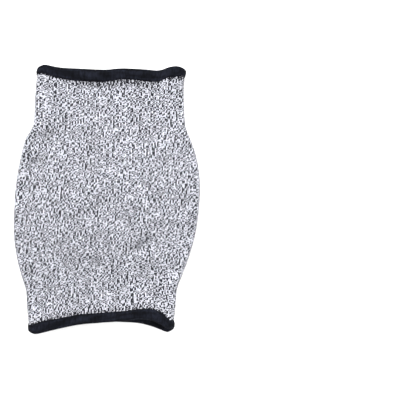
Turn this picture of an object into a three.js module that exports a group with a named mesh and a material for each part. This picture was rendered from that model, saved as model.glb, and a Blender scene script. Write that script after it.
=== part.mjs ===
// A cut resistant elbow sleeve, lying flat on its back: one seamless knitted tube, which widens
// from two close cuffs into a full elbow pouch, and a rolled overlock hem that wraps the raw
// edge at each mouth. Millimetres, +Z up, +Y from the lower mouth to the upper mouth, with the
// origin on the surface that it lies on, under the middle of its box.
import * as THREE from "three";

// Driving dimensions
const SLEEVE_LENGTH = 200; // over both hems
const POUCH_WIDTH = 137; // laid flat, at its widest
const TOP_CUFF_WIDTH = 109; // laid flat
const BOTTOM_CUFF_WIDTH = 107; // laid flat
const TOP_CUFF_LENGTH = 43; // hem included
const BOTTOM_CUFF_LENGTH = 30; // hem included
const LEAN = 7.5; // how far the upper mouth lies to the right of the lower one
const WALL = 1.6; // the knit's thickness
const POUCH_HEIGHT = 18; // how high the pouch stands
const MOUTH_GAP = 6; // free height in the middle of each mouth
const FOLD_GAP = 2.4; // free height inside a hem at the side folds
const HEM_WIDTH = 7.5; // along the sleeve
const HEM_THICKNESS = 4; // through the roll
const HEM_NOSE = 2.2; // how far a hem reaches past the raw edge that it wraps
const HEM_LIP_ROUND = 0.6; // rounding of the hem's two lips on the knit
const SEAM_GAP = 0.25; // clearance between the knit and its hems
const CORNER_DRAW = 1.9; // how much narrower a hem is where it rounds a side fold
const CORNER_REACH = 7; // how far in from the fold it narrows
const TOP_SAG = 4.6; // how far the upper mouth dips between its corners
const BOTTOM_ARCH = 11.2; // how far the lower mouth arches up between its corners
const DENT_DEPTH = 1.5; // the deepest soft dent in the upper layer

// How finely the cloth is cut into facets
const FRONT_STEPS = 20;
const FOLD_STEPS = 8;
const BACK_STEPS = 14;
const KNIT_STEPS = 26;
const NOSE_STEPS = 6;

// Each side's bulge, from the cuff's width at 0 to the pouch's at 1, and how full the pouch
// stands, at shares of the pouch's length from its lower end.
const POUCH_SECTIONS = [
  { along: -0.2, left: -0.1, right: 0.03, puff: 0 },
  { along: -0.08, left: 0.06, right: 0.1, puff: 0.03 },
  { along: 0.02, left: 0.14, right: 0.15, puff: 0.12 },
  { along: 0.1, left: 0.38, right: 0.37, puff: 0.3 },
  { along: 0.2, left: 0.63, right: 0.65, puff: 0.55 },
  { along: 0.34, left: 0.85, right: 0.94, puff: 0.85 },
  { along: 0.5, left: 0.88, right: 1.08, puff: 1 },
  { along: 0.66, left: 0.82, right: 1.07, puff: 0.96 },
  { along: 0.8, left: 0.64, right: 0.86, puff: 0.72 },
  { along: 0.9, left: 0.44, right: 0.54, puff: 0.42 },
  { along: 0.95, left: 0.2, right: 0.34, puff: 0.26 },
  { along: 1.0, left: 0.04, right: 0.2, puff: 0.12 },
  { along: 1.2, left: -0.01, right: 0.04, puff: 0 },
  { along: 1.35, left: -0.16, right: 0.07, puff: 0 },
];

// The mouths' edges, at shares across from the left fold at -1 to the right fold at 1: how much
// of the sag or arch the upper layer and the layer on the table have there.
const TOP_EDGE = [
  { across: -1, front: 0.12, back: 0.3 },
  { across: -0.76, front: 0.69, back: 0.9 },
  { across: -0.45, front: 0.92, back: 1.2 },
  { across: -0.1, front: 1.1, back: 1.35 },
  { across: 0.13, front: 0.9, back: 1.25 },
  { across: 0.3, front: 0.93, back: 1.25 },
  { across: 0.5, front: 1.04, back: 1.3 },
  { across: 0.7, front: 1.15, back: 1.3 },
  { across: 0.86, front: 0.58, back: 0.9 },
  { across: 1, front: 0.42, back: 0.7 },
];
const BOTTOM_EDGE = [
  { across: -1, front: 0.02, back: 0.08 },
  { across: -0.85, front: 0.18, back: 0.24 },
  { across: -0.62, front: 0.43, back: 0.48 },
  { across: -0.32, front: 0.7, back: 0.74 },
  { across: 0, front: 0.83, back: 0.84 },
  { across: 0.3, front: 0.92, back: 0.82 },
  { across: 0.57, front: 1.04, back: 0.74 },
  { across: 0.74, front: 0.97, back: 0.56 },
  { across: 0.88, front: 0.74, back: 0.34 },
  { across: 1, front: 0.36, back: 0.1 },
];

// Soft dents below 0 and swells above 0 in the upper layer: the middle as shares of the half
// width and the length, half the run and half the spread as shares of the length, and the turn
// of the run from straight across, in degrees.
const DENTS = [
  { across: -0.74, along: 0.755, run: 0.09, spread: 0.028, turn: -8, rise: -0.9 },
  { across: -0.86, along: 0.655, run: 0.06, spread: 0.03, turn: 75, rise: -0.8 },
  { across: -0.46, along: 0.61, run: 0.1, spread: 0.05, turn: 65, rise: -0.7 },
  { across: -0.08, along: 0.6, run: 0.12, spread: 0.035, turn: 52, rise: 0.8 },
  { across: 0.14, along: 0.46, run: 0.09, spread: 0.035, turn: -50, rise: -0.8 },
  { across: 0.44, along: 0.33, run: 0.08, spread: 0.035, turn: 70, rise: -1 },
  { across: 0.62, along: 0.26, run: 0.08, spread: 0.035, turn: 35, rise: 0.7 },
  { across: -0.5, along: 0.25, run: 0.07, spread: 0.03, turn: -70, rise: -0.7 },
  { across: -0.1, along: 0.24, run: 0.05, spread: 0.03, turn: -60, rise: -0.6 },
  { across: 0.36, along: 0.74, run: 0.08, spread: 0.035, turn: -20, rise: -0.6 },
  { across: -0.8, along: 0.14, run: 0.05, spread: 0.035, turn: 80, rise: -0.6 },
  { across: 0.3, along: 0.12, run: 0.08, spread: 0.03, turn: 15, rise: -0.5 },
];

// Worked out from the sizes above
const FOLD_RADIUS = (HEM_THICKNESS + FOLD_GAP) / 2; // of the cloth's middle at a side fold
const POUCH_LENGTH = SLEEVE_LENGTH - TOP_CUFF_LENGTH - BOTTOM_CUFF_LENGTH;
const CUFF_CROWN = MOUTH_GAP + HEM_THICKNESS - 2 * FOLD_RADIUS;
const POUCH_CROWN = POUCH_HEIGHT - WALL - 2 * FOLD_RADIUS;
const SLOT_HALF = WALL / 2 + SEAM_GAP;

// A table's column as a smooth curve through its rows
function curve(rows, at, column) {
  const spline = new THREE.CubicInterpolant(
    rows.map((row) => row[at]),
    rows.map((row) => row[column]),
    1,
  );
  return (value) => spline.evaluate(value)[0];
}

const bulgeLeft = curve(POUCH_SECTIONS, "along", "left");
const bulgeRight = curve(POUCH_SECTIONS, "along", "right");
const puffAt = curve(POUCH_SECTIONS, "along", "puff");
const topFront = curve(TOP_EDGE, "across", "front");
const topBack = curve(TOP_EDGE, "across", "back");
const bottomFront = curve(BOTTOM_EDGE, "across", "front");
const bottomBack = curve(BOTTOM_EDGE, "across", "back");

const { lerp, smoothstep, degToRad } = THREE.MathUtils;

// The laid-flat section of the cloth's middle at a run, in mm from the lower mouth
function sectionAt(run) {
  const share = run / SLEEVE_LENGTH;
  const pouch = (run - BOTTOM_CUFF_LENGTH) / POUCH_LENGTH;
  const cuffHalf = lerp(BOTTOM_CUFF_WIDTH, TOP_CUFF_WIDTH, share) / 2 - WALL / 2;
  const pouchHalf = POUCH_WIDTH / 2 - WALL / 2;
  const centre = LEAN * (share - 0.5);
  const fromMouth = Math.min(run, SLEEVE_LENGTH - run);
  const liftEnd = 3 * HEM_WIDTH;
  return {
    left: centre - lerp(cuffHalf, pouchHalf, bulgeLeft(pouch)) + FOLD_RADIUS,
    right: centre + lerp(cuffHalf, pouchHalf, bulgeRight(pouch)) - FOLD_RADIUS,
    back: lerp(HEM_THICKNESS / 2, WALL / 2, smoothstep(fromMouth, HEM_WIDTH, liftEnd)),
    crown: lerp(CUFF_CROWN, POUCH_CROWN, puffAt(pouch)),
  };
}

// How far the dents and swells move the upper layer at a place in it
function dentAt(across, run) {
  const halfWidth = POUCH_WIDTH / 2;
  let rise = 0;
  for (const dent of DENTS) {
    const dx = (across - dent.across) * halfWidth;
    const dy = run - dent.along * SLEEVE_LENGTH;
    const turn = degToRad(dent.turn);
    const onRun = (dx * Math.cos(turn) + dy * Math.sin(turn)) / (dent.run * SLEEVE_LENGTH);
    const offRun = (dy * Math.cos(turn) - dx * Math.sin(turn)) / (dent.spread * SLEEVE_LENGTH);
    rise += dent.rise * Math.exp(-onRun * onRun - offRun * offRun);
  }
  return DENT_DEPTH * rise * smoothstep(1 - Math.abs(across), 0, 0.2);
}

// The height of the upper layer over the folds: a pillow that starts level at each fold
function pillow(across) {
  return smoothstep(1 - Math.abs(across), 0, 0.85);
}

// 1 at a mouth, falling smoothly to 0 at a distance in from it
function nearMouth(distance, reach) {
  return 1 - smoothstep(distance, 0, reach);
}

// A point of the cloth's middle. turn counts round the tube: 0 to 1 over the upper layer from
// left to right, to 2 round the right fold, to 3 back under it, and to 4 round the left fold.
function clothMiddle(turn, run) {
  const lap = THREE.MathUtils.euclideanModulo(turn, 4);
  const span = Math.floor(lap);
  const share = lap - span;
  const { left, right, back, crown } = sectionAt(run);
  const angle = Math.PI * (0.5 - share);
  let across = 1;
  let x = right + FOLD_RADIUS * Math.cos(angle);
  let z = back + FOLD_RADIUS * (1 + Math.sin(angle));
  let front = (1 + Math.sin(angle)) / 2;
  if (span === 3) {
    across = -1;
    x = left - FOLD_RADIUS * Math.cos(angle);
    z = back + FOLD_RADIUS * (1 - Math.sin(angle));
    front = (1 - Math.sin(angle)) / 2;
  } else if (span !== 1) {
    front = span === 0 ? 1 : 0;
    across = span === 0 ? 2 * share - 1 : 1 - 2 * share;
    x = lerp(left, right, (across + 1) / 2);
    z = back;
    if (front) z += 2 * FOLD_RADIUS + crown * pillow(across) + dentAt(across, run);
  }
  const sag = TOP_SAG * lerp(topBack(across), topFront(across), front);
  const arch = BOTTOM_ARCH * lerp(bottomBack(across), bottomFront(across), front);
  const fromFold = Math.min(x - left, right - x) + FOLD_RADIUS;
  const draw = CORNER_DRAW * Math.max(0, 1 - fromFold / CORNER_REACH) ** 2;
  const drawn = draw * (nearMouth(run, HEM_WIDTH) - nearMouth(SLEEVE_LENGTH - run, HEM_WIDTH));
  const sagHere = sag * nearMouth(SLEEVE_LENGTH - HEM_WIDTH - run, SLEEVE_LENGTH / 2);
  const archHere = arch * nearMouth(run - HEM_WIDTH, SLEEVE_LENGTH / 2);
  return new THREE.Vector3(x, run - SLEEVE_LENGTH / 2 - sagHere + archHere + drawn, z);
}

// A point at a distance out from the cloth's middle, negative towards the hollow
function clothPoint(turn, run, out) {
  const nudge = 0.01;
  const round = clothMiddle(turn + nudge, run).sub(clothMiddle(turn - nudge, run));
  const along = clothMiddle(turn, run + nudge).sub(clothMiddle(turn, run - nudge));
  return clothMiddle(turn, run).addScaledVector(round.cross(along).normalize(), out);
}

// The places round the tube where the facets meet
function turnStations() {
  const stations = [];
  [FRONT_STEPS, FOLD_STEPS, BACK_STEPS, FOLD_STEPS].forEach((steps, span) => {
    for (let i = 0; i < steps; i++) stations.push(span + i / steps);
  });
  return stations;
}

// A closed band round the tube, from its section's outline as [run, out] pairs. The facets'
// diagonals all lean one way, up the tube or down it, so that nested pieces stay parallel.
function clothBand(outline) {
  const turns = turnStations();
  const positions = [];
  for (const [run, out] of outline) {
    for (const turn of turns) positions.push(...clothPoint(turn, run, out).toArray());
  }
  const indices = [];
  outline.forEach(([run, out], i) => {
    const following = (i + 1) % outline.length;
    const here = i * turns.length;
    const next = following * turns.length;
    const climb = outline[following][0] - run || outline[following][1] - out;
    turns.forEach((_, j) => {
      const k = (j + 1) % turns.length;
      if (climb > 0) indices.push(here + j, here + k, next + k, here + j, next + k, next + j);
      else indices.push(here + j, here + k, next + j, here + k, next + k, next + j);
    });
  });
  const geometry = new THREE.BufferGeometry();
  geometry.setAttribute("position", new THREE.Float32BufferAttribute(positions, 3));
  geometry.setIndex(indices);
  geometry.computeVertexNormals();
  return geometry;
}

// The knit's section: up its outer face and down its inner one, with a station at each hem's lip
function knitOutline() {
  const lower = [HEM_NOSE, HEM_WIDTH];
  const upper = [SLEEVE_LENGTH - HEM_WIDTH, SLEEVE_LENGTH - HEM_NOSE];
  const runs = [...lower];
  for (let i = 1; i < KNIT_STEPS; i++) runs.push(lerp(lower[1], upper[0], i / KNIT_STEPS));
  runs.push(...upper);
  return [
    ...runs.map((run) => [run, WALL / 2]),
    ...runs.reverse().map((run) => [run, -WALL / 2]),
  ];
}

// A hem's section, with its distance from the mouth turned into a run: a rolled channel with a
// round nose, and a slot that the raw edge sits in
function hemOutline() {
  const half = HEM_THICKNESS / 2;
  const outer = [
    [HEM_WIDTH, SLOT_HALF],
    [HEM_WIDTH, half - HEM_LIP_ROUND],
    [HEM_WIDTH - HEM_LIP_ROUND, half],
  ];
  const nose = [];
  for (let i = 0; i <= NOSE_STEPS; i++) {
    const angle = (Math.PI * i) / NOSE_STEPS;
    nose.push([half * (1 - Math.sin(angle)), half * Math.cos(angle)]);
  }
  const inner = outer.map(([mouth, out]) => [mouth, -out]).reverse();
  const slot = [
    [HEM_NOSE - SEAM_GAP, -SLOT_HALF],
    [HEM_NOSE - SEAM_GAP, SLOT_HALF],
  ];
  return [...outer, ...nose, ...inner, ...slot];
}

function topHemOutline() {
  return hemOutline().map(([mouth, out]) => [SLEEVE_LENGTH - mouth, out]);
}

function bottomHemOutline() {
  return hemOutline().reverse();
}

const knitCloth = new THREE.MeshStandardMaterial({
  color: 0xb6b7c0,
  roughness: 0.95,
  metalness: 0,
});
const hemThread = new THREE.MeshStandardMaterial({
  color: 0x1c1f27,
  roughness: 0.8,
  metalness: 0,
});

function piece(name, outline, material) {
  const mesh = new THREE.Mesh(clothBand(outline), material);
  mesh.name = name;
  return mesh;
}

const sleeve = new THREE.Group();
sleeve.add(piece("knit_sleeve", knitOutline(), knitCloth));
sleeve.add(piece("top_hem", topHemOutline(), hemThread));
sleeve.add(piece("bottom_hem", bottomHemOutline(), hemThread));

// The origin goes under the middle of the box
const box = new THREE.Box3().setFromObject(sleeve);
const middle = box.getCenter(new THREE.Vector3());
sleeve.position.set(-middle.x, -middle.y, -box.min.z);

export default sleeve;
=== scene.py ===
# A cut resistant elbow sleeve, lying flat: one tube of melange knitting, which widens from two
# close cuffs into a full elbow pouch, and a rolled overlock hem round each mouth. Shapes are worked
# out in millimetres and go into the meshes in metres.
import math
import bpy
import numpy as np
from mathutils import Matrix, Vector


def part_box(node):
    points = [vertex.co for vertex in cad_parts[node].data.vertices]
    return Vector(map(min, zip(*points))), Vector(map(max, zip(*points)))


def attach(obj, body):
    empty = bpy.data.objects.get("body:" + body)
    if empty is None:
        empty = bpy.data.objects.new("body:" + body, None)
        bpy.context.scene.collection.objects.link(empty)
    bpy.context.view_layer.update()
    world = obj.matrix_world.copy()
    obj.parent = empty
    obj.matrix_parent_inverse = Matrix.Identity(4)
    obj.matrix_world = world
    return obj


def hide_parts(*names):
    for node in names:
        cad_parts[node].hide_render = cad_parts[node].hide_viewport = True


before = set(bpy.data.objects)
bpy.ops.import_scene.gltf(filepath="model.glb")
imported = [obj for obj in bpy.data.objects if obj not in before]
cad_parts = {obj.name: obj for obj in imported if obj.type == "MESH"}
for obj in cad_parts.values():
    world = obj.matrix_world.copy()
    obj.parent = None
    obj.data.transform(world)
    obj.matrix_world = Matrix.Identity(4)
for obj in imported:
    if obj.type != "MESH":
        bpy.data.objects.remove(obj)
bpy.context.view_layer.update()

MM = 0.001

# The sleeve's sizes, as the solids have them
SLEEVE_LENGTH = 200.0
POUCH_WIDTH = 137.0
TOP_CUFF_WIDTH = 109.0
BOTTOM_CUFF_WIDTH = 107.0
TOP_CUFF_LENGTH = 43.0
BOTTOM_CUFF_LENGTH = 30.0
LEAN = 7.5
WALL = 1.6
POUCH_HEIGHT = 18.0
MOUTH_GAP = 6.0
FOLD_GAP = 2.4
HEM_WIDTH = 7.5
HEM_THICKNESS = 4.0
HEM_NOSE = 2.2
SEAM_GAP = 0.25
CORNER_DRAW = 1.9
CORNER_REACH = 7.0
TOP_SAG = 4.6
BOTTOM_ARCH = 11.2
DENT_DEPTH = 1.5

# The knitting and the sewing
WALE_PITCH = 2.1  # one column of stitches
COURSE_PITCH = 1.7  # one row of stitches
RIB_RELIEF = 0.16  # how far every other wale of the cuffs stands out
POUCH_RELIEF = 0.35  # the share of it that the pouch has
RIB_SHARE = 0.65  # of the relief: the rest is each wale's own ridge
RIPPLE = 0.22  # how uneven the loose cloth lies
THREAD_PITCH = 1.15  # along the mouth, of the overlock threads wound round the edge
THREAD_RELIEF = 0.13
THREAD_SLANT = 2.2  # how many pitches a thread runs sideways from lip to lip
HEM_SQUARENESS = 2 / 3  # the power of the hem's superellipse: 1 is an ellipse and 0 a box
STITCH_PITCH = 2.5  # of the needle stitches that hold a hem's lips
STITCH_REACH = 1.7  # how far they bite into the knit past the lip
STITCH_START = 0.9  # how far under the lip they come out
STITCH_UNEVEN = 0.45  # how much the bites differ, as a share
SEWING_THREAD = 0.36  # its radius
TAIL_TURNS = [0.985, 1.06, 1.16, 1.28]  # where the cut ends hang, round the tube
TAIL_LENGTHS = [4.4, 5.4, 4.8, 3.2]
TAIL_RADIUS = 0.62  # of each strand where it starts

# The melange: one slanted dash of dark yarn at a time in each wale
DASHES_A_STITCH = 2.6
DASH_HALF = 0.32  # half a dash's width, in wales
DASH_TALL = 0.8  # half its height, in dashes
DASH_SPREAD = 0.4  # how much the widths differ
DASH_STRAY = 0.12  # how far a dash lies off its leg of the stitch, in wales
DASH_LEAN = 0.18  # how far a dash leans to the right as it climbs, in wales
DASHES_KEPT = 0.89  # the share of the places that hold a dash
PALE_YARN = ((0.386, 0.393, 0.438, 1), (0.437, 0.445, 0.49, 1))
DARK_YARN = ((0.002, 0.0025, 0.005, 1), (0.012, 0.0125, 0.018, 1))
HEM_YARN = (0.0038, 0.0043, 0.0069, 1)

# The yarn's relief and tone
LEG_CLIMB = 1.7  # how steeply the two legs of a stitch climb to a wale's middle
SWAY = (0.5, 0.7)  # how far the stitches wander, in wales and courses
GAP_SHADE = 0.45  # the light left in the gaps between the legs
STREAKS = 0.45  # how much the tone differs from wale to wale
DRIFT = 0.6  # how much it differs over the cloth
KNIT_BUMP = 0.4  # how deep the loops' bump is, in millimetres
HEM_BUMP = 0.15  # and that of the hems' fibres

# How finely the cloth is cut into faces
FRONT_STEPS = 280
FOLD_STEPS = 26
BACK_STEPS = 200
KNIT_OUTER_ROWS = 140
KNIT_INNER_ROWS = 24
HEM_ROWS = 30
HEM_COLUMNS_PER_THREAD = 6

# Each side's bulge, from the cuff's width at 0 to the pouch's at 1, and how full the pouch
# stands, at shares of the pouch's length from its lower end.
POUCH_SECTIONS = {
    "along": [-0.2, -0.08, 0.02, 0.1, 0.2, 0.34, 0.5, 0.66, 0.8, 0.9, 0.95, 1.0, 1.2, 1.35],
    "left": [-0.1, 0.06, 0.14, 0.38, 0.63, 0.85, 0.88, 0.82, 0.64, 0.44, 0.2, 0.04, -0.01, -0.16],
    "right": [0.03, 0.1, 0.15, 0.37, 0.65, 0.94, 1.08, 1.07, 0.86, 0.54, 0.34, 0.2, 0.04, 0.07],
    "puff": [0.0, 0.03, 0.12, 0.3, 0.55, 0.85, 1.0, 0.96, 0.72, 0.42, 0.26, 0.12, 0.0, 0.0],
}

# The mouths' edges, from the left fold at -1 to the right fold at 1: how much of the sag or arch
# the upper layer and the layer on the table have there.
TOP_EDGE = {
    "across": [-1, -0.76, -0.45, -0.1, 0.13, 0.3, 0.5, 0.7, 0.86, 1],
    "front": [0.12, 0.69, 0.92, 1.1, 0.9, 0.93, 1.04, 1.15, 0.58, 0.42],
    "back": [0.3, 0.9, 1.2, 1.35, 1.25, 1.25, 1.3, 1.3, 0.9, 0.7],
}
BOTTOM_EDGE = {
    "across": [-1, -0.85, -0.62, -0.32, 0, 0.3, 0.57, 0.74, 0.88, 1],
    "front": [0.02, 0.18, 0.43, 0.7, 0.83, 0.92, 1.04, 0.97, 0.74, 0.36],
    "back": [0.08, 0.24, 0.48, 0.74, 0.84, 0.82, 0.74, 0.56, 0.34, 0.1],
}

# Soft dents below 0 and swells above 0 in the upper layer: the middle as shares of the half width
# and the length, half the run and half the spread as shares of the length, the turn of the run
# from straight across in degrees, and the rise as a share of the deepest dent.
DENTS = {
    "across": [-0.74, -0.86, -0.46, -0.08, 0.14, 0.44, 0.62, -0.5, -0.1, 0.36, -0.8, 0.3],
    "along": [0.755, 0.655, 0.61, 0.6, 0.46, 0.33, 0.26, 0.25, 0.24, 0.74, 0.14, 0.12],
    "run": [0.09, 0.06, 0.1, 0.12, 0.09, 0.08, 0.08, 0.07, 0.05, 0.08, 0.05, 0.08],
    "spread": [0.028, 0.03, 0.05, 0.035, 0.035, 0.035, 0.035, 0.03, 0.03, 0.035, 0.035, 0.03],
    "turn": [-8, 75, 65, 52, -50, 70, 35, -70, -60, -20, 80, 15],
    "rise": [-0.9, -0.8, -0.7, 0.8, -0.8, -1, 0.7, -0.7, -0.6, -0.6, -0.6, -0.5],
}

# Creases and slack too slight for the solids, told in the same way, on the same scale
CREASES = {
    "across": [
        -0.85, -0.87, -0.94, -0.27, 0.015, 0.165, 0.495, 0.44, -0.505,
        -0.085, 0.875, 0.94, -0.77, 0.04, -0.96, -0.88, 0.085, 0.35,
    ],
    "along": [
        0.742, 0.642, 0.43, 0.615, 0.592, 0.43, 0.316, 0.26, 0.237,
        0.227, 0.464, 0.234, 0.5, 0.932, 0.155, 0.91, 0.716, 0.13,
    ],
    "run": [
        0.034, 0.035, 0.12, 0.12, 0.12, 0.08, 0.055, 0.06, 0.045,
        0.035, 0.035, 0.045, 0.16, 0.16, 0.04, 0.035, 0.05, 0.05,
    ],
    "spread": [
        0.019, 0.019, 0.02, 0.04, 0.04, 0.028, 0.023, 0.018, 0.03,
        0.024, 0.018, 0.018, 0.026, 0.023, 0.02, 0.02, 0.022, 0.024,
    ],
    "turn": [12, 32, 85, 60, 57, -38, 36, 80, -25, -20, 0, 60, 85, 0, 60, 80, -50, 50],
    "rise": [
        -2.8, -2.6, -1.0, -2.0, 0.7, -2.0, -3.2, -1.5, -2.4,
        -2.4, -1.0, -1.6, 0.5, -3.4, -1.4, -0.5, -1.2, -1.2,
    ],
}

# Slack in the loose cloth, as waves: length in millimetres, heading in degrees and phase
WAVES = ((40, 20, 0.4), (31, 110, 1.9), (24, 63, 3.1), (19, 151, 4.4), (14, 88, 5.2))

# How far each hem's inner edge lies off its even width on the upper layer, in millimetres
TOP_HEM_REACH = {
    "across": [-1, -0.8, -0.55, -0.3, -0.1, 0.1, 0.3, 0.5, 0.65, 0.8, 1],
    "reach": [-0.7, 0.4, 1.7, 1.6, 1.4, 0.6, 0.5, 1.2, 1.2, 0.7, 0.6],
}
BOTTOM_HEM_REACH = {
    "across": [-1, -0.85, -0.6, -0.2, 0.2, 0.6, 0.8, 0.92, 1],
    "reach": [0.6, 1.3, 0.6, 0.3, 0.2, 0.6, 1.5, 1.6, 0.8],
}

FOLD_RADIUS = (HEM_THICKNESS + FOLD_GAP) / 2
POUCH_LENGTH = SLEEVE_LENGTH - TOP_CUFF_LENGTH - BOTTOM_CUFF_LENGTH
CUFF_CROWN = MOUTH_GAP + HEM_THICKNESS - 2 * FOLD_RADIUS
POUCH_CROWN = POUCH_HEIGHT - WALL - 2 * FOLD_RADIUS
SLOT_HALF = WALL / 2 + SEAM_GAP


def smoothstep(value, low, high):
    """0 up to low, 1 from high on, and 3 t^2 - 2 t^3 between them."""
    t = np.clip((value - low) / (high - low), 0, 1)
    return t * t * (3 - 2 * t)


def near_mouth(distance, reach):
    """1 at a mouth, falling smoothly to 0 at a distance in from it."""
    return 1 - smoothstep(distance, 0, reach)


def curve(rows, at, column, value):
    """A table's column as a cubic Hermite curve, with the slope of its neighbours at each row."""
    x, y = np.array(rows[at], float), np.array(rows[column], float)
    slope = np.empty_like(y)
    slope[1:-1] = (y[2:] - y[:-2]) / (x[2:] - x[:-2])
    ends = np.diff(y) / np.diff(x)
    slope[0] = 1.5 * ends[0] - 0.5 * slope[1]
    slope[-1] = 1.5 * ends[-1] - 0.5 * slope[-2]
    value = np.clip(value, x[0], x[-1])
    i = np.clip(np.searchsorted(x, value) - 1, 0, len(x) - 2)
    h = x[i + 1] - x[i]
    t = (value - x[i]) / h
    rest = 1 - t
    ease = t * t * (3 - 2 * t)
    bend = t * rest * h * (slope[i] * rest - slope[i + 1] * t)
    return y[i] + (y[i + 1] - y[i]) * ease + bend


def section(run):
    """The laid-flat section's two fold centres, the lower layer's height and the upper one's crown."""
    share = run / SLEEVE_LENGTH
    pouch = (run - BOTTOM_CUFF_LENGTH) / POUCH_LENGTH
    cuff_half = (BOTTOM_CUFF_WIDTH + (TOP_CUFF_WIDTH - BOTTOM_CUFF_WIDTH) * share - WALL) / 2
    swell = (POUCH_WIDTH - WALL) / 2 - cuff_half
    centre = LEAN * (share - 0.5)
    from_mouth = np.minimum(run, SLEEVE_LENGTH - run)
    lift = 1 - smoothstep(from_mouth, HEM_WIDTH, 3 * HEM_WIDTH)
    left = centre - cuff_half - swell * curve(POUCH_SECTIONS, "along", "left", pouch) + FOLD_RADIUS
    right = centre + cuff_half + swell * curve(POUCH_SECTIONS, "along", "right", pouch) - FOLD_RADIUS
    back = WALL / 2 + (HEM_THICKNESS - WALL) / 2 * lift
    crown = CUFF_CROWN + (POUCH_CROWN - CUFF_CROWN) * curve(POUCH_SECTIONS, "along", "puff", pouch)
    return left, right, back, crown


def bells(rows, across, run):
    """The sum of a table's bells: rise times exp(-(along the run)^2 - (across the run)^2)."""
    total = np.zeros(np.broadcast(across, run).shape)
    for middle, along, half_run, spread, turn, rise in zip(*rows.values()):
        dx = (across - middle) * POUCH_WIDTH / 2
        dy = run - along * SLEEVE_LENGTH
        c, s = math.cos(math.radians(turn)), math.sin(math.radians(turn))
        on_run = (dx * c + dy * s) / (half_run * SLEEVE_LENGTH)
        off_run = (dy * c - dx * s) / (spread * SLEEVE_LENGTH)
        total += rise * np.exp(-on_run**2 - off_run**2)
    return total


def dents(across, run):
    """Both tables' dents, in millimetres. The creases run on closer to the folds than the rest."""
    from_fold = 1 - np.abs(across)
    broad = bells(DENTS, across, run) * smoothstep(from_fold, 0, 0.2)
    return DENT_DEPTH * (broad + bells(CREASES, across, run) * smoothstep(from_fold, 0, 0.07))


def ripples(x, run):
    """Slack in the cloth: a sum of sine waves 14 to 40 mm long that run in different directions."""
    total = np.zeros(np.broadcast(x, run).shape)
    for length, heading, phase in WAVES:
        c, s = math.cos(math.radians(heading)), math.sin(math.radians(heading))
        total += np.sin(2 * math.pi * (x * c + run * s) / length + phase) * length / WAVES[0][0]
    return RIPPLE * total


def cloth_middle(turn, run):
    """A point of the cloth's middle. turn goes 0 to 1 over the upper layer from left to right, to 2
    round the right fold, to 3 back under it and to 4 round the left fold, on half circles. The
    upper layer's height over the folds is crown s(d / 0.85) + dents + ripples, for the smoothstep s
    and the share d of the way in from a fold. Each mouth's edge moves by its sag or arch, which
    fades out half way along, and its corners are drawn in by (1 - distance / reach)^2."""
    turn, run = np.broadcast_arrays(np.mod(turn, 4.0), run)
    span = np.floor(turn)
    share = turn - span
    left, right, back, crown = section(run)
    over, under, right_fold = span == 0, span == 2, span == 1
    angle = math.pi * (0.5 - share)
    side = np.where(right_fold, 1.0, -1.0)
    front = np.select([over, under], [1.0, 0.0], (1 + side * np.sin(angle)) / 2)
    across = np.select([over, under], [2 * share - 1, 1 - 2 * share], side)
    fold_x = np.where(right_fold, right, left) + side * FOLD_RADIUS * np.cos(angle)
    x = np.where(over | under, left + (right - left) * (across + 1) / 2, fold_x)
    inward = 1 - np.abs(across)
    slack = smoothstep(inward, 0, 0.25) * smoothstep(np.minimum(run, SLEEVE_LENGTH - run), 4, 30)
    rise = crown * smoothstep(inward, 0, 0.85) + dents(across, run) + ripples(x, run) * slack
    z = back + 2 * FOLD_RADIUS * front + np.where(over, rise, 0)
    top = np.where(over, 1, front)
    sag = curve(TOP_EDGE, "across", "back", across) * (1 - top)
    sag += curve(TOP_EDGE, "across", "front", across) * top
    arch = curve(BOTTOM_EDGE, "across", "back", across) * (1 - top)
    arch += curve(BOTTOM_EDGE, "across", "front", across) * top
    from_fold = np.minimum(x - left, right - x) + FOLD_RADIUS
    draw = CORNER_DRAW * np.maximum(0, 1 - from_fold / CORNER_REACH) ** 2
    y = run - SLEEVE_LENGTH / 2
    y = y + draw * (near_mouth(run, HEM_WIDTH) - near_mouth(SLEEVE_LENGTH - run, HEM_WIDTH))
    y = y - TOP_SAG * sag * near_mouth(SLEEVE_LENGTH - HEM_WIDTH - run, SLEEVE_LENGTH / 2)
    y = y + BOTTOM_ARCH * arch * near_mouth(run - HEM_WIDTH, SLEEVE_LENGTH / 2)
    return np.stack([x, y, z], -1)


def cloth_normal(turn, run):
    """The cloth's outward unit normal: its tangent round the tube crossed with the one along it."""
    nudge = 0.01
    sideways = cloth_middle(turn + nudge, run) - cloth_middle(turn - nudge, run)
    along = cloth_middle(turn, run + nudge) - cloth_middle(turn, run - nudge)
    normal = np.cross(sideways, along)
    return normal / np.linalg.norm(normal, axis=-1, keepdims=True)


def turn_stations(front, fold, back):
    """Even steps over each of the four spans of the tube."""
    steps = ((0, front), (1, fold), (2, back), (3, fold))
    return np.concatenate([span + np.arange(n) / n for span, n in steps])


def own_middle():
    """The middle of the knit's own box, seen from above, in the surfaces' millimetres."""
    turn = turn_stations(FRONT_STEPS, FOLD_STEPS, BACK_STEPS)[None, :]
    run = np.linspace(HEM_NOSE, SLEEVE_LENGTH - HEM_NOSE, KNIT_OUTER_ROWS)[:, None]
    points = cloth_middle(turn, run) + cloth_normal(turn, run) * WALL / 2
    flat = points.reshape(-1, 3)[:, :2]
    return (flat.min(0) + flat.max(0)) / 2


KNIT_BOX = np.array(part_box("knit_sleeve"))
SHIFT = np.append((KNIT_BOX[0] + KNIT_BOX[1])[:2] / 2 / MM - own_middle(), 0)


def cloth_point(turn, run, out):
    """A place in the frame, at a distance out from the cloth's middle."""
    return cloth_middle(turn, run) + cloth_normal(turn, run) * np.asarray(out)[..., None] + SHIFT


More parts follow.
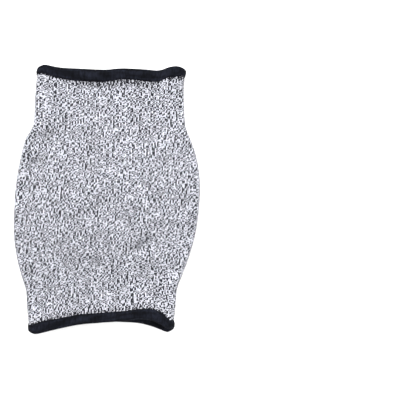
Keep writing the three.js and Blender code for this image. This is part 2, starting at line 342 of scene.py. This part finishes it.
def wales_round(lap, run):
    """Which wale lies at each station of a full lap, counted from the upper layer's middle: the
    distance gone round the tube, seen along the sleeve, over the pitch. The second grid counts the
    other way round, so that the two meet under the sleeve."""
    points = cloth_middle(lap, run)
    step = np.hypot(np.diff(points[..., 0], axis=1), np.diff(points[..., 2], axis=1))
    arc = np.concatenate([np.zeros((len(step), 1)), np.cumsum(step, axis=1)], axis=1)
    onward = (arc - arc[:, FRONT_STEPS // 2, None]) / WALE_PITCH
    return onward, onward - arc[:, -1:] / WALE_PITCH


def add_mesh(name, points, faces, uv=None):
    """A smooth mesh from points in millimetres, quads or triangles, and a uv for each corner."""
    mesh = bpy.data.meshes.new(name)
    points = np.ascontiguousarray(points.reshape(-1, 3) * MM, np.float32)
    faces = np.ascontiguousarray(faces, np.int32)
    mesh.vertices.add(len(points))
    mesh.vertices.foreach_set("co", points.ravel())
    mesh.loops.add(faces.size)
    mesh.loops.foreach_set("vertex_index", faces.ravel())
    mesh.polygons.add(len(faces))
    mesh.polygons.foreach_set("loop_start", np.arange(len(faces), dtype=np.int32) * faces.shape[1])
    mesh.polygons.foreach_set("use_smooth", np.ones(len(faces), bool))
    if uv is not None:
        layer = mesh.uv_layers.new(name="yarn")
        layer.data.foreach_set("uv", np.ascontiguousarray(uv, np.float32).ravel())
    mesh.update(calc_edges=True)
    mesh.validate()
    obj = bpy.data.objects.new(name, mesh)
    bpy.context.scene.collection.objects.link(obj)
    return obj


def ring_faces(rows, columns):
    """Quads of a grid that closes on itself both ways."""
    i, j = np.meshgrid(np.arange(rows), np.arange(columns), indexing="ij")
    k, n = (j + 1) % columns, (i + 1) % rows
    return np.stack([i * columns + j, i * columns + k, n * columns + k, n * columns + j], -1)


def corners(grid):
    """A grid with one row and column more than the faces, as four corner values for each face."""
    return np.stack([grid[:-1, :-1], grid[:-1, 1:], grid[1:, 1:], grid[1:, :-1]], -1)


def make_knit():
    """The knitted tube: an outer face with rib relief and a plain inner one, joined at both raw
    edges, with uv in wales and courses. The relief is (1 + cos(pi wale)) / 2 for the ribs, moved by
    half a wale, and (1 - cos(2 pi wale)) / 2 for each wale, and it fades out on the table."""
    turns = turn_stations(FRONT_STEPS, FOLD_STEPS, BACK_STEPS)
    lap = np.append(turns, 4.0)[None, :]
    outer = np.linspace(HEM_NOSE, SLEEVE_LENGTH - HEM_NOSE, KNIT_OUTER_ROWS)
    inner = np.linspace(SLEEVE_LENGTH - HEM_NOSE, HEM_NOSE, KNIT_INNER_ROWS)
    run = np.concatenate([outer, inner])[:, None]
    half_wall = np.repeat([WALL / 2, -WALL / 2], [len(outer), len(inner)])[:, None]
    onward, backward = wales_round(lap, run)
    beyond = (turns >= 2.5)[None, :]
    wale = np.where(beyond, backward[:, :-1], onward[:, :-1])
    in_cuff = near_mouth(run, 1.6 * BOTTOM_CUFF_LENGTH)
    in_cuff = in_cuff + near_mouth(SLEEVE_LENGTH - run, 1.5 * TOP_CUFF_LENGTH)
    depth = RIB_RELIEF * (POUCH_RELIEF + (1 - POUCH_RELIEF) * np.clip(1.6 * in_cuff, 0, 1))
    rib = 0.5 + 0.5 * np.cos(math.pi * (wale - 0.5))
    ridge = 0.5 - 0.5 * np.cos(2 * math.pi * wale)
    off_table = smoothstep(np.abs(np.mod(turns - 0.5, 4) - 2), 0.5, 1.0)[None, :]
    relief = depth * (RIB_SHARE * rib + (1 - RIB_SHARE) * ridge) * off_table
    points = cloth_point(turns[None, :], run, half_wall + np.where(half_wall > 0, relief, 0))

    closed = np.append(np.arange(len(run)), 0)
    u = np.where(beyond[..., None], corners(backward[closed]), corners(onward[closed]))
    v = corners(run[closed] / COURSE_PITCH + 0 * lap)
    faces = ring_faces(len(run), len(turns))
    return add_mesh("knit", points, faces.reshape(-1, 4), np.stack([u, v], -1))


def mouth_arc(turn, run):
    """The distance gone round the tube to each station at a run, along the cloth's middle."""
    lap = cloth_middle(np.append(turn, 4.0), run)
    return np.append(0, np.cumsum(np.linalg.norm(np.diff(lap, axis=0), axis=1)))


def across_front(turn):
    """The place across the upper layer, from -1 to 1, which runs on past both folds."""
    return 2 * (np.mod(turn + 2, 4) - 2) - 1


def lip_reach(rows, turn):
    """How far a hem's inner edge lies off its even width: the table's value on the upper layer,
    which fades out just past the folds."""
    across = across_front(turn)
    return curve(rows, "across", "reach", across) * smoothstep(1.15 - np.abs(across), 0, 0.15)


def make_hem(name, from_mouth_to_run, reach):
    """A rolled hem: the outline is a superellipse (cos a, sin a), each to the power of its
    squareness, from one lip round the nose to the other lip, then the slot that holds the raw edge.
    Threads wound round it stand out as ridges of |cos|^0.8, and their slant makes them run sideways
    from lip to lip. The upper layer's inner edge wanders by a table of reach."""
    rough = turn_stations(FRONT_STEPS, FOLD_STEPS, BACK_STEPS)
    arc = mouth_arc(rough, from_mouth_to_run(HEM_WIDTH / 2))
    threads = round(arc[-1] / THREAD_PITCH)
    even = np.linspace(0, arc[-1], threads * HEM_COLUMNS_PER_THREAD + 1)
    lap = np.interp(even, arc, np.append(rough, 4.0))
    turns = lap[:-1]
    count = np.linspace(0, threads, len(lap))[None, :]

    lip = math.asin((SLOT_HALF / (HEM_THICKNESS / 2)) ** (1 / HEM_SQUARENESS))
    angle = np.linspace(lip, 2 * math.pi - lip, HEM_ROWS)[:, None]
    wrap = (np.linspace(0, 1, HEM_ROWS) - 0.5)[:, None]
    ridge = np.abs(np.cos(math.pi * (count + THREAD_SLANT * wrap))) ** 0.8
    far = np.sign(np.cos(angle)) * np.abs(np.cos(angle)) ** HEM_SQUARENESS
    high = np.sign(np.sin(angle)) * np.abs(np.sin(angle)) ** HEM_SQUARENESS
    wander = 0.0625 * np.sin(2 * math.pi * count / 23)
    wander += 0.05 * np.sin(2 * math.pi * count / 9.3 + 1)
    inner = np.maximum(far, 0)
    length = HEM_WIDTH / 2 + (wander + 0.35 * THREAD_RELIEF * (ridge - 1)) * inner
    length = length + lip_reach(reach, lap) * (high > 0) * inner**0.5
    from_mouth = HEM_WIDTH / 2 + length * far
    out = high * (HEM_THICKNESS / 2 + THREAD_RELIEF * (ridge - 1))
    slot_run = np.full((2, len(lap)), HEM_NOSE - SEAM_GAP)
    slot_out = np.array([[-SLOT_HALF], [SLOT_HALF]]) + 0 * slot_run
    from_mouth = np.concatenate([from_mouth, slot_run])
    out = np.concatenate([out, slot_out])
    rows = len(out)
    u = np.concatenate([count + THREAD_SLANT * wrap, count + 0 * slot_run])
    v = np.linspace(0, 1, rows + 1)[:, None] * 20 + 0 * lap
    u = np.concatenate([u, u[:1]])
    run = from_mouth_to_run(from_mouth)
    points = cloth_point(turns[None, :], run[:, :-1], out[:, :-1])
    faces = ring_faces(rows, len(turns))
    uv = np.stack([corners(u), corners(v)], -1)
    if run[0, 0] < SLEEVE_LENGTH / 2:
        faces, uv = faces[..., ::-1], uv[:, :, ::-1]
    return add_mesh(name, points, faces.reshape(-1, 4), uv)


def top_run(from_mouth):
    """The run at a distance in from the upper mouth."""
    return SLEEVE_LENGTH - from_mouth


def bottom_run(from_mouth):
    """The run at a distance in from the lower mouth, which is that distance."""
    return from_mouth


def thread_tubes(name, paths, radii, sides=6):
    """Closed tubes along paths of shape (tubes, steps, 3): each step has a ring of points round
    the path, in the plane of two vectors that are square to its tangent, and a pole at each end."""
    tangent = np.gradient(paths, axis=1)
    tangent /= np.linalg.norm(tangent, axis=-1, keepdims=True)
    up = np.where(np.abs(tangent[..., 2:]) > 0.9, [1.0, 0.0, 0.0], [0.0, 0.0, 1.0])
    across = np.cross(tangent, up)
    across /= np.linalg.norm(across, axis=-1, keepdims=True)
    lift = np.cross(tangent, across)
    spin = np.linspace(0, 2 * math.pi, sides, endpoint=False)[None, None, :, None]
    ring = across[:, :, None] * np.cos(spin) + lift[:, :, None] * np.sin(spin)
    rings = paths[:, :, None] + ring * radii[..., None, None]
    tubes, steps = paths.shape[:2]
    poles = paths[:, [0, -1]]
    points = np.concatenate([rings.reshape(tubes, -1, 3), poles], 1)
    i, j = np.meshgrid(np.arange(steps - 1), np.arange(sides), indexing="ij")
    k = (j + 1) % sides
    walls = np.stack([i * sides + j, i * sides + k, (i + 1) * sides + k, (i + 1) * sides + j], -1)
    walls = walls.reshape(-1, 4)
    first, last = steps * sides, steps * sides + 1
    j = np.arange(sides)
    k = (j + 1) % sides
    end = (steps - 1) * sides
    starts = np.stack([k, j, np.full(sides, first)], -1)
    ends = np.stack([end + j, end + k, np.full(sides, last)], -1)
    walls = np.concatenate([walls[:, [0, 1, 2]], walls[:, [0, 2, 3]], starts, ends])
    faces = walls[None] + (np.arange(tubes) * (first + 2))[:, None, None]
    return add_mesh(name, points, faces.reshape(-1, 3))


def make_needle_stitches(name, from_mouth_to_run, reach):
    """The needle thread along both lips of a hem: slanted bights that come out from under the lip,
    reach as far as sin(pi t)^0.8 over the knit and sink into it by 0.9 t^2 millimetres."""
    rough = turn_stations(FRONT_STEPS, FOLD_STEPS, BACK_STEPS)
    arc = mouth_arc(rough, from_mouth_to_run(HEM_WIDTH))
    stitches = round(arc[-1] / STITCH_PITCH)
    at = (np.arange(stitches) + 0.5) * arc[-1] / stitches
    step = np.linspace(0, 1, 9)[None, :]
    jitter = np.random.default_rng(7).uniform(-1, 1, (stitches, 3))
    bite = STITCH_REACH * (1 + STITCH_UNEVEN * jitter[:, :1])
    along = at[:, None] + STITCH_PITCH * (0.12 * jitter[:, 1:2] + 0.42 * (step - 0.5))
    turn = np.interp(along, arc, np.append(rough, 4.0))
    bite = bite * (0.2 + 0.8 * smoothstep(1 - np.abs(across_front(turn)), 0.15, 0.5))
    start = HEM_WIDTH + lip_reach(reach, turn) - STITCH_START
    from_mouth = start + (bite + STITCH_START) * np.sin(math.pi * step) ** 0.8
    out = WALL / 2 + RIB_RELIEF + 0.75 * SEWING_THREAD - 0.9 * step**2
    paths = cloth_point(turn, from_mouth_to_run(from_mouth), out)
    radii = SEWING_THREAD * (0.35 + 0.65 * np.sin(math.pi * step) ** 0.5) + 0 * along
    return thread_tubes(name, paths, radii)


def make_thread_tail():
    """The cut ends of the overlock threads at the upper right corner: short tapered strands, side
    by side, that hang past the lip. Each rises by 0.55 sin(pi t) and sinks by 0.6 t millimetres."""
    corner_turn = np.array(TAIL_TURNS)[:, None]
    step = np.linspace(0, 1, 14)[None, :]
    length = np.array(TAIL_LENGTHS)[:, None]
    run = SLEEVE_LENGTH - HEM_WIDTH + 1.5 - length * step
    out = HEM_THICKNESS / 2 - 0.5 + 0.55 * np.sin(math.pi * step) - 0.6 * step
    turn = corner_turn + 0.05 * np.sin(2.5 * step + corner_turn * 9)
    paths = cloth_point(turn, run, out)
    radii = TAIL_RADIUS * (1 - 0.6 * step) + 0 * corner_turn
    return thread_tubes("thread_tail", paths, radii, 8)


class Wiring:
    """Short calls that add shader nodes to one tree and put numbers or sockets into them."""

    def __init__(self, tree):
        self.tree = tree

    def add(self, kind, inputs=(), **settings):
        node = self.tree.nodes.new(kind)
        for name, value in settings.items():
            setattr(node, name, value)
        for place, value in dict(inputs).items():
            self.feed(node.inputs[place], value)
        return node

    def feed(self, socket, value):
        if isinstance(value, bpy.types.NodeSocket):
            self.tree.links.new(value, socket)
        else:
            socket.default_value = value

    def math(self, operation, *values):
        return self.add("ShaderNodeMath", enumerate(values), operation=operation).outputs[0]

    def step(self, value, low, high, to_low=0.0, to_high=1.0):
        """to_low up to low and to_high from high on, with a smoothstep between them."""
        fields = {"Value": value, "From Min": low, "From Max": high, "To Min": to_low, "To Max": to_high}
        node = self.add("ShaderNodeMapRange", fields, interpolation_type="SMOOTHSTEP")
        return node.outputs["Result"]

    def product(self, first, *others):
        for other in others:
            first = self.math("MULTIPLY", first, other)
        return first

    def mix(self, share, first, second, blend="MIX"):
        node = self.add("ShaderNodeMix", data_type="RGBA", blend_type=blend)
        self.feed(node.inputs[0], share)
        self.feed(node.inputs[6], first)
        self.feed(node.inputs[7], second)
        return node.outputs[2]

    def point(self, x, y, z=0.0):
        return self.add("ShaderNodeCombineXYZ", {"X": x, "Y": y, "Z": z}).outputs[0]

    def shade(self, color, tone):
        """A colour times a tone."""
        return self.mix(1.0, color, self.point(tone, tone, tone), "MULTIPLY")

    def noise(self, vector, scale, detail=2.0, output="Fac"):
        fields = {"Vector": vector, "Scale": scale, "Detail": detail}
        return self.add("ShaderNodeTexNoise", fields).outputs[output]

    def split(self, vector):
        """A vector's or colour's three parts."""
        return self.add("ShaderNodeSeparateXYZ", {0: vector}).outputs

    def fibres(self, group, vector, scale, contrast):
        """The tone and the height of the fibres on a yarn."""
        fields = {"Vector": vector, "Scale": scale, "Contrast": contrast}
        return self.add("ShaderNodeGroup", node_tree=group, inputs=fields).outputs

    def surface(self, shader, color, roughness, specular, sheen=0.0, sheen_roughness=0.5):
        self.feed(shader["Base Color"], color)
        self.feed(shader["Roughness"], roughness)
        self.feed(shader["Specular IOR Level"], specular)
        self.feed(shader["Sheen Weight"], sheen)
        self.feed(shader["Sheen Roughness"], sheen_roughness)

    def bump(self, shader, height, strength, distance):
        fields = {"Height": height, "Strength": strength, "Distance": distance * MM}
        self.feed(shader["Normal"], self.add("ShaderNodeBump", fields).outputs[0])


def node_group(name, inputs, outputs):
    """An empty shader node group with named sockets, its wiring and its two end nodes."""
    tree = bpy.data.node_groups.new(name, "ShaderNodeTree")
    for label, kind, value in inputs:
        socket = tree.interface.new_socket(label, in_out="INPUT", socket_type=kind)
        if value is not None:
            socket.default_value = value
    for label, kind in outputs:
        tree.interface.new_socket(label, in_out="OUTPUT", socket_type=kind)
    wire = Wiring(tree)
    return tree, wire, wire.add("NodeGroupInput").outputs, wire.add("NodeGroupOutput").inputs


def fibre_group():
    """Fine fibres and lint for any yarn: fine and broad noise over a vector, 0.6 to 0.4, as a tone
    round 1 and a height round 0."""
    inputs = (
        ("Vector", "NodeSocketVector", None),
        ("Scale", "NodeSocketFloat", 1.0),
        ("Contrast", "NodeSocketFloat", 0.2),
    )
    outputs = (("Tone", "NodeSocketFloat"), ("Height", "NodeSocketFloat"))
    tree, wire, given, result = node_group("yarn fibres", inputs, outputs)
    fine = wire.noise(given["Vector"], wire.math("MULTIPLY", given["Scale"], 6.0), detail=3.0)
    broad = wire.noise(given["Vector"], wire.math("MULTIPLY", given["Scale"], 1.3))
    both = wire.math("ADD", wire.math("MULTIPLY", fine, 0.6), wire.math("MULTIPLY", broad, 0.4))
    centred = wire.math("SUBTRACT", both, 0.5)
    wire.feed(result["Tone"], wire.math("MULTIPLY_ADD", centred, given["Contrast"], 1.0))
    wire.feed(result["Height"], centred)
    return tree


def material(name):
    """A new material, its wiring and the inputs of its one shader."""
    made = bpy.data.materials.new(name)
    made.use_nodes = True
    made.node_tree.nodes.clear()
    wire = Wiring(made.node_tree)
    shader = wire.add("ShaderNodeBsdfPrincipled")
    wire.add("ShaderNodeOutputMaterial", {"Surface": shader.outputs[0]})
    return made, wire, shader.inputs


def knit_material(fibres):
    """Melange stockinette: each wale has two slanted legs of yarn a stitch, and a dark ply shows
    on them as short slanted dashes at places that differ from stitch to stitch. A leg's height is
    sqrt(1 - 0.96 x^2) (0.55 + 0.45 sqrt(sin(pi y))), for x from -1 to 1 across it and y from 0 to 1
    along it. A dash is dark where (x / half its width)^2 + (y / half its height)^2 < 1."""
    made, wire, shader = material("melange knit")
    uv = wire.add("ShaderNodeUVMap", uv_map="yarn").outputs[0]
    place = wire.split(uv)
    sway = wire.split(wire.noise(uv, scale=0.9, output="Color"))
    u = wire.math("ADD", place[0], wire.math("MULTIPLY_ADD", sway[0], SWAY[0], -SWAY[0] / 2))
    v = wire.math("ADD", place[1], wire.math("MULTIPLY_ADD", sway[1], SWAY[1], -SWAY[1] / 2))

    across = wire.math("MULTIPLY_ADD", wire.math("FRACT", wire.math("MULTIPLY", u, 2.0)), 2.0, -1.0)
    from_wale = wire.math("ABSOLUTE", wire.math("SUBTRACT", wire.math("FRACT", u), 0.5))
    along = wire.math("FRACT", wire.math("MULTIPLY_ADD", from_wale, -LEG_CLIMB, v))
    square = wire.math("MULTIPLY", across, wire.math("MULTIPLY", across, 0.96))
    roundness = wire.math("SQRT", wire.math("SUBTRACT", 1.0, square))
    taper = wire.math("POWER", wire.math("SINE", wire.math("MULTIPLY", along, math.pi)), 0.5)
    height = wire.math("MULTIPLY", roundness, wire.math("MULTIPLY_ADD", taper, 0.45, 0.55))

    wale = wire.math("FLOOR", u)
    start = wire.add("ShaderNodeTexWhiteNoise", {"W": wale}, noise_dimensions="1D").outputs["Value"]
    brick = wire.math("MULTIPLY_ADD", wale, 0.5, wire.math("MULTIPLY", start, 0.3))
    climb = wire.math("MULTIPLY_ADD", v, DASHES_A_STITCH, brick)
    dash = wire.math("FLOOR", climb)
    rise = wire.math("SUBTRACT", wire.math("FRACT", climb), 0.5)
    cell = {"Vector": wire.point(wale, dash)}
    chance = wire.add("ShaderNodeTexWhiteNoise", cell, noise_dimensions="2D")
    draws = wire.split(chance.outputs["Color"])
    leg = wire.math("MULTIPLY_ADD", wire.math("GREATER_THAN", draws[0], 0.5), 0.5, 0.25)
    stray = wire.math("SUBTRACT", wire.math("FRACT", wire.math("MULTIPLY", draws[0], 2.0)), 0.5)
    lean = wire.math("MULTIPLY_ADD", rise, DASH_LEAN, wire.math("MULTIPLY_ADD", stray, DASH_STRAY, leg))
    shifted = wire.math("ADD", wire.math("SUBTRACT", u, lean), 0.5)
    aside = wire.math("SUBTRACT", wire.math("FRACT", shifted), 0.5)
    narrowest = (1 - DASH_SPREAD / 2) * DASH_HALF
    size = wire.math("MULTIPLY_ADD", draws[1], DASH_SPREAD * DASH_HALF, narrowest)
    near = wire.math("DIVIDE", aside, size)
    tall = wire.math("DIVIDE", rise, DASH_TALL)
    oval = wire.math("MULTIPLY_ADD", near, near, wire.math("MULTIPLY", tall, tall))
    inside = wire.step(oval, 0.85, 1.15, 1.0, 0.0)
    dark = wire.math("MULTIPLY", inside, wire.math("LESS_THAN", draws[1], DASHES_KEPT))
    pale = wire.mix(draws[2], PALE_YARN[0], PALE_YARN[1])
    deep = wire.mix(wire.math("POWER", draws[2], 2.9), DARK_YARN[0], DARK_YARN[1])
    yarn = wire.mix(dark, pale, deep)

    lint = wire.fibres(fibres, uv, scale=1.6, contrast=0.5)
    # Painted shade: the yarn's colour darkens to GAP_SHADE in the gaps between the legs, where the loops
    # would shade each other
    painted_gap_shade = wire.step(height, 0.1, 0.75, GAP_SHADE, 1.0)
    tall_patch = wire.point(wire.math("MULTIPLY", u, 0.8), wire.math("MULTIPLY", v, 0.11))
    patches = wire.noise(tall_patch, scale=1.0, detail=1.0)
    streak = wire.math("MULTIPLY_ADD", patches, STREAKS, 1 - STREAKS / 2)
    drift = wire.math("MULTIPLY_ADD", wire.noise(uv, scale=0.14), DRIFT, 1 - DRIFT / 2)
    tone = wire.product(lint["Tone"], painted_gap_shade, streak, drift)
    wire.surface(shader, wire.shade(yarn, tone), roughness=0.9, specular=0.2, sheen=0.15)
    bumpy = wire.math("MULTIPLY_ADD", lint["Height"], 0.5, height)
    wire.bump(shader, bumpy, strength=0.7, distance=KNIT_BUMP)
    return made


def hem_material(fibres):
    """Textured overlock thread, near black: broad streaks along the mouth, uneven threads across
    it, fine fibres on them and a faint relief finer than the mesh's own."""
    made, wire, shader = material("overlock thread")
    uv = wire.add("ShaderNodeUVMap", uv_map="yarn").outputs[0]
    place = wire.split(uv)
    lint = wire.fibres(fibres, uv, scale=0.8, contrast=1.2)
    across = wire.point(wire.math("MULTIPLY", place[0], 0.8), wire.math("MULTIPLY", place[1], 0.45))
    along = wire.point(wire.math("MULTIPLY", place[0], 0.07), wire.math("MULTIPLY", place[1], 0.4))
    threads = wire.step(wire.noise(across, scale=1.0, detail=3.0), 0.3, 0.7, 0.5, 1.5)
    streaks = wire.step(wire.noise(along, scale=1.0), 0.35, 0.65, 0.5, 1.6)
    tone = wire.product(lint["Tone"], threads, streaks)
    color = wire.shade(HEM_YARN, tone)
    wire.surface(shader, color, roughness=0.75, specular=0.03, sheen=0.01, sheen_roughness=0.6)
    wire.bump(shader, lint["Height"], strength=0.5, distance=HEM_BUMP)
    return made


def dress(piece, finish, slot, *nodes):
    """Gives a piece its finish and its body, and hides the solids that it stands for. The slot is not
    used.
    """
    piece.data.materials.append(finish)
    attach(piece, "root")
    if nodes:
        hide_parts(*nodes)


fibres = fibre_group()
knit_finish = knit_material(fibres)
hem_finish = hem_material(fibres)
knit = make_knit()
dress(knit, knit_finish, "knit", "knit_sleeve")
top_hem = make_hem("top_hem_roll", top_run, TOP_HEM_REACH)
dress(top_hem, hem_finish, "hem", "top_hem")
bottom_hem = make_hem("bottom_hem_roll", bottom_run, BOTTOM_HEM_REACH)
dress(bottom_hem, hem_finish, "hem", "bottom_hem")
top_stitches = make_needle_stitches("top_needle_stitches", top_run, TOP_HEM_REACH)
dress(top_stitches, hem_finish, "hem")
bottom_stitches = make_needle_stitches("bottom_needle_stitches", bottom_run, BOTTOM_HEM_REACH)
dress(bottom_stitches, hem_finish, "hem")
tail = make_thread_tail()
dress(tail, hem_finish, "hem")


# The table, the light and the camera
PIXEL = 200 / 270 * MM  # what one pixel of the photograph shows
PHOTO_SIDE = 416
ORIGIN_PIXEL = (107.2, 199.4)  # where the photograph has the frame's origin
LENS = 135.0
SENSOR = 36.0
TABLE_SIDE = 12.0
TABLE_DROP = 0.03 * MM  # so that the table and the sleeve's underside don't share a plane
TABLE_WHITE = (0.93, 0.93, 0.93, 1)
WORLD_STRENGTH = 1.15
LIGHTS = (
    {"name": "softbox", "place": (0.0, 1.15, 1.05), "size": 0.8, "power": 46},
    {"name": "fill", "place": (0.35, -1.2, 0.75), "size": 1.0, "power": 16},
)


def add_table():
    """A plain white square, much larger than the sleeve."""
    half = TABLE_SIDE / 2
    mesh = bpy.data.meshes.new("table")
    square = [(x * half, y * half, -TABLE_DROP) for x, y in ((-1, -1), (1, -1), (1, 1), (-1, 1))]
    mesh.from_pydata(square, [], [(0, 1, 2, 3)])
    table = bpy.data.objects.new("table", mesh)
    bpy.context.scene.collection.objects.link(table)
    made, wire, shader = material("white table")
    wire.surface(shader, TABLE_WHITE, roughness=0.9, specular=0.0)
    mesh.materials.append(made)


def add_area_light(name, place, size, power):
    """A square light that faces the sleeve."""
    light = bpy.data.lights.new(name, "AREA")
    light.shape = "SQUARE"
    light.size = size
    light.energy = power
    lamp = bpy.data.objects.new(name, light)
    lamp.location = place
    lamp.rotation_mode = "QUATERNION"
    lamp.rotation_quaternion = (-lamp.location).to_track_quat("-Z", "Y")
    bpy.context.scene.collection.objects.link(lamp)


def add_light():
    """White surroundings, a softbox past the upper mouth and a weaker fill past the lower one."""
    world = bpy.data.worlds.new("studio")
    bpy.context.scene.world = world
    world.use_nodes = True
    background = world.node_tree.nodes["Background"].inputs
    background["Color"].default_value = (1, 1, 1, 1)
    background["Strength"].default_value = WORLD_STRENGTH
    for light in LIGHTS:
        add_area_light(**light)


def add_camera():
    """A camera straight above, so far up that the frame's origin and scale fall as photographed."""
    camera = bpy.data.cameras.new("camera")
    camera.lens = LENS
    camera.sensor_width = SENSOR
    holder = bpy.data.objects.new("camera", camera)
    bpy.context.scene.collection.objects.link(holder)
    middle = PHOTO_SIDE / 2
    distance = PHOTO_SIDE * PIXEL * LENS / SENSOR
    x = (middle - ORIGIN_PIXEL[0]) * PIXEL
    y = (ORIGIN_PIXEL[1] - middle) * PIXEL
    holder.location = (x, y, distance)
    camera.clip_end = 20.0
    bpy.context.scene.camera = holder


add_table()
add_light()
add_camera()
bpy.context.scene.view_settings.view_transform = "Standard"
bpy.context.scene.view_settings.look = "None"
